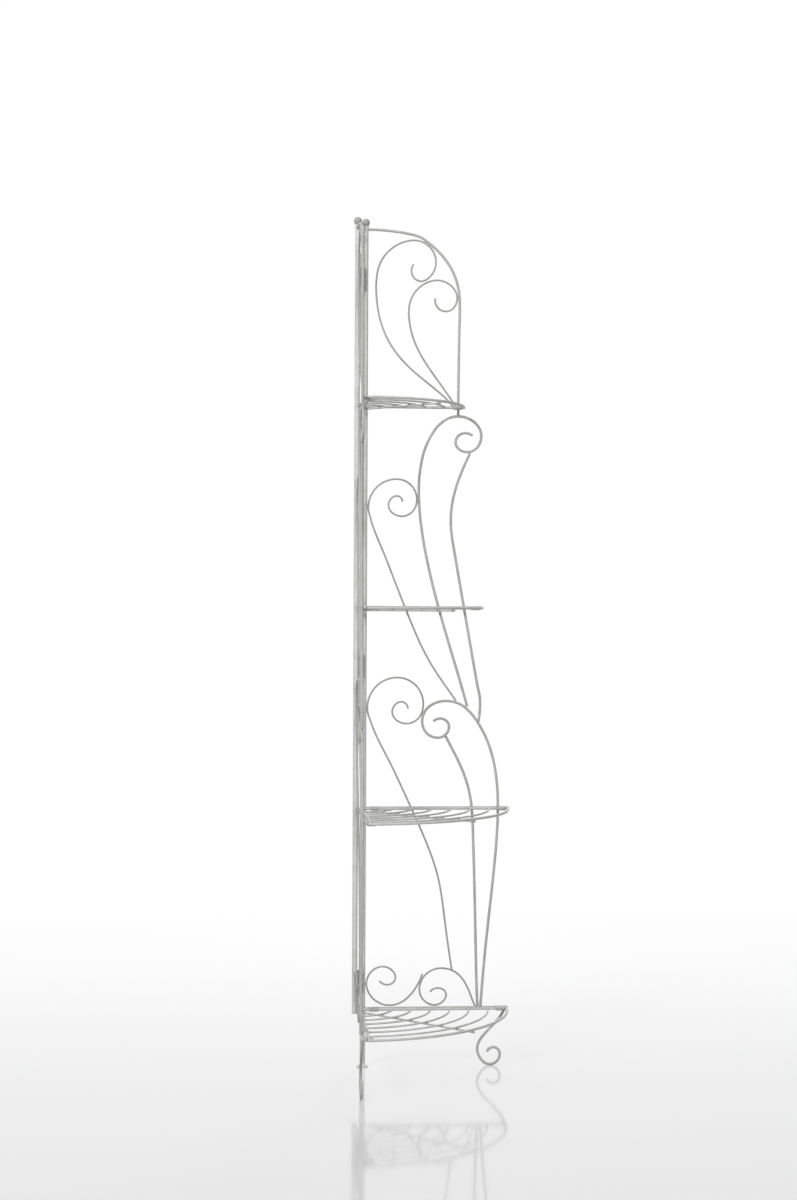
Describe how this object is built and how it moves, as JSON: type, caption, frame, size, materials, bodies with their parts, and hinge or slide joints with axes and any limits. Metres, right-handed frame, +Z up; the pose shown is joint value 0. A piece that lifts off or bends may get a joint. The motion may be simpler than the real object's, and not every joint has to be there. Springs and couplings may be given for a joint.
{
  "type": "folding corner shelf unit",
  "caption": "Tall folding corner shelf unit in painted iron, with hinged scrollwork side frames and quarter-round wire shelves that lift up.",
  "frame": {"origin": "centre of the underside of the round foot under the right frame's corner tube, on the floor", "axes": "+Z up; +X along the right side frame, away from the corner; -Y along the left side frame"},
  "size_m": [0.2985, 0.3015, 1.6],
  "materials": {
    "tube_paint": "satin antique white paint",
    "rod_paint": "satin antique white paint",
    "wire_paint": "satin antique white paint",
    "shelf_paint": "satin antique white paint",
    "hinge_paint": "satin antique white paint"
  },
  "bodies": {
    "right_frame": {"corner_foot_disc": "tube_paint", "right_corner_tube": "tube_paint", "right_ball_finial": "tube_paint", "right_bottom_inner_scroll": "wire_paint", "right_bottom_outer_scroll": "wire_paint", "right_lower_small_scroll": "wire_paint", "right_lower_big_scroll": "rod_paint", "right_lower_middle_rod": "rod_paint", "right_upper_small_scroll": "wire_paint", "right_upper_big_scroll": "rod_paint", "right_upper_outer_rod": "rod_paint", "right_arch_rod": "rod_paint", "right_top_large_scroll": "wire_paint", "right_top_small_scroll": "wire_paint", "right_scroll_foot": "rod_paint", "right_rail_1": "rod_paint", "right_rail_2": "rod_paint", "right_rail_3": "rod_paint", "right_rail_4": "rod_paint", "hinge_1_right_leaf": "hinge_paint", "hinge_1_pin": "hinge_paint", "hinge_2_right_leaf": "hinge_paint", "hinge_2_pin": "hinge_paint", "hinge_3_right_leaf": "hinge_paint", "hinge_3_pin": "hinge_paint"},
    "left_frame": {"left_corner_tube": "tube_paint", "left_ball_finial": "tube_paint", "left_bottom_inner_scroll": "wire_paint", "left_bottom_outer_scroll": "wire_paint", "left_lower_small_scroll": "wire_paint", "left_lower_big_scroll": "rod_paint", "left_lower_middle_rod": "rod_paint", "left_upper_small_scroll": "wire_paint", "left_upper_big_scroll": "rod_paint", "left_upper_outer_rod": "rod_paint", "left_arch_rod": "rod_paint", "left_top_large_scroll": "wire_paint", "left_top_small_scroll": "wire_paint", "left_scroll_foot": "rod_paint", "left_rail_1": "rod_paint", "left_rail_2": "rod_paint", "left_rail_3": "rod_paint", "left_rail_4": "rod_paint", "hinge_1_left_leaf": "hinge_paint", "hinge_2_left_leaf": "hinge_paint", "hinge_3_left_leaf": "hinge_paint"},
    "shelf_1": {"shelf_1_grid": "shelf_paint", "shelf_1_front_bar": "shelf_paint", "shelf_1_brace": "shelf_paint"},
    "shelf_2": {"shelf_2_grid": "shelf_paint", "shelf_2_front_bar": "shelf_paint", "shelf_2_brace": "shelf_paint"},
    "shelf_3": {"shelf_3_grid": "shelf_paint", "shelf_3_front_bar": "shelf_paint", "shelf_3_brace": "shelf_paint"},
    "shelf_4": {"shelf_4_grid": "shelf_paint", "shelf_4_front_bar": "shelf_paint", "shelf_4_brace": "shelf_paint"}
  },
  "joints": [
    {"name": "frame_fold", "type": "hinge", "parent": "right_frame", "child": "left_frame", "pos_m": [-0.0078, -0.0082, 0.162], "axis": [0, 0, -1], "range_deg": [0, 90]},
    {"name": "shelf_1_lift", "type": "hinge", "parent": "right_frame", "child": "shelf_1", "pos_m": [-0.0035, -0.0125, 0.11], "axis": [-1, 0, 0], "range_deg": [0, 88]},
    {"name": "shelf_2_lift", "type": "hinge", "parent": "right_frame", "child": "shelf_2", "pos_m": [-0.0035, -0.0125, 0.488], "axis": [-1, 0, 0], "range_deg": [0, 88]},
    {"name": "shelf_3_lift", "type": "hinge", "parent": "right_frame", "child": "shelf_3", "pos_m": [-0.0035, -0.0125, 0.866], "axis": [-1, 0, 0], "range_deg": [0, 88]},
    {"name": "shelf_4_lift", "type": "hinge", "parent": "right_frame", "child": "shelf_4", "pos_m": [-0.0035, -0.0125, 1.244], "axis": [-1, 0, 0], "range_deg": [0, 88]}
  ]
}
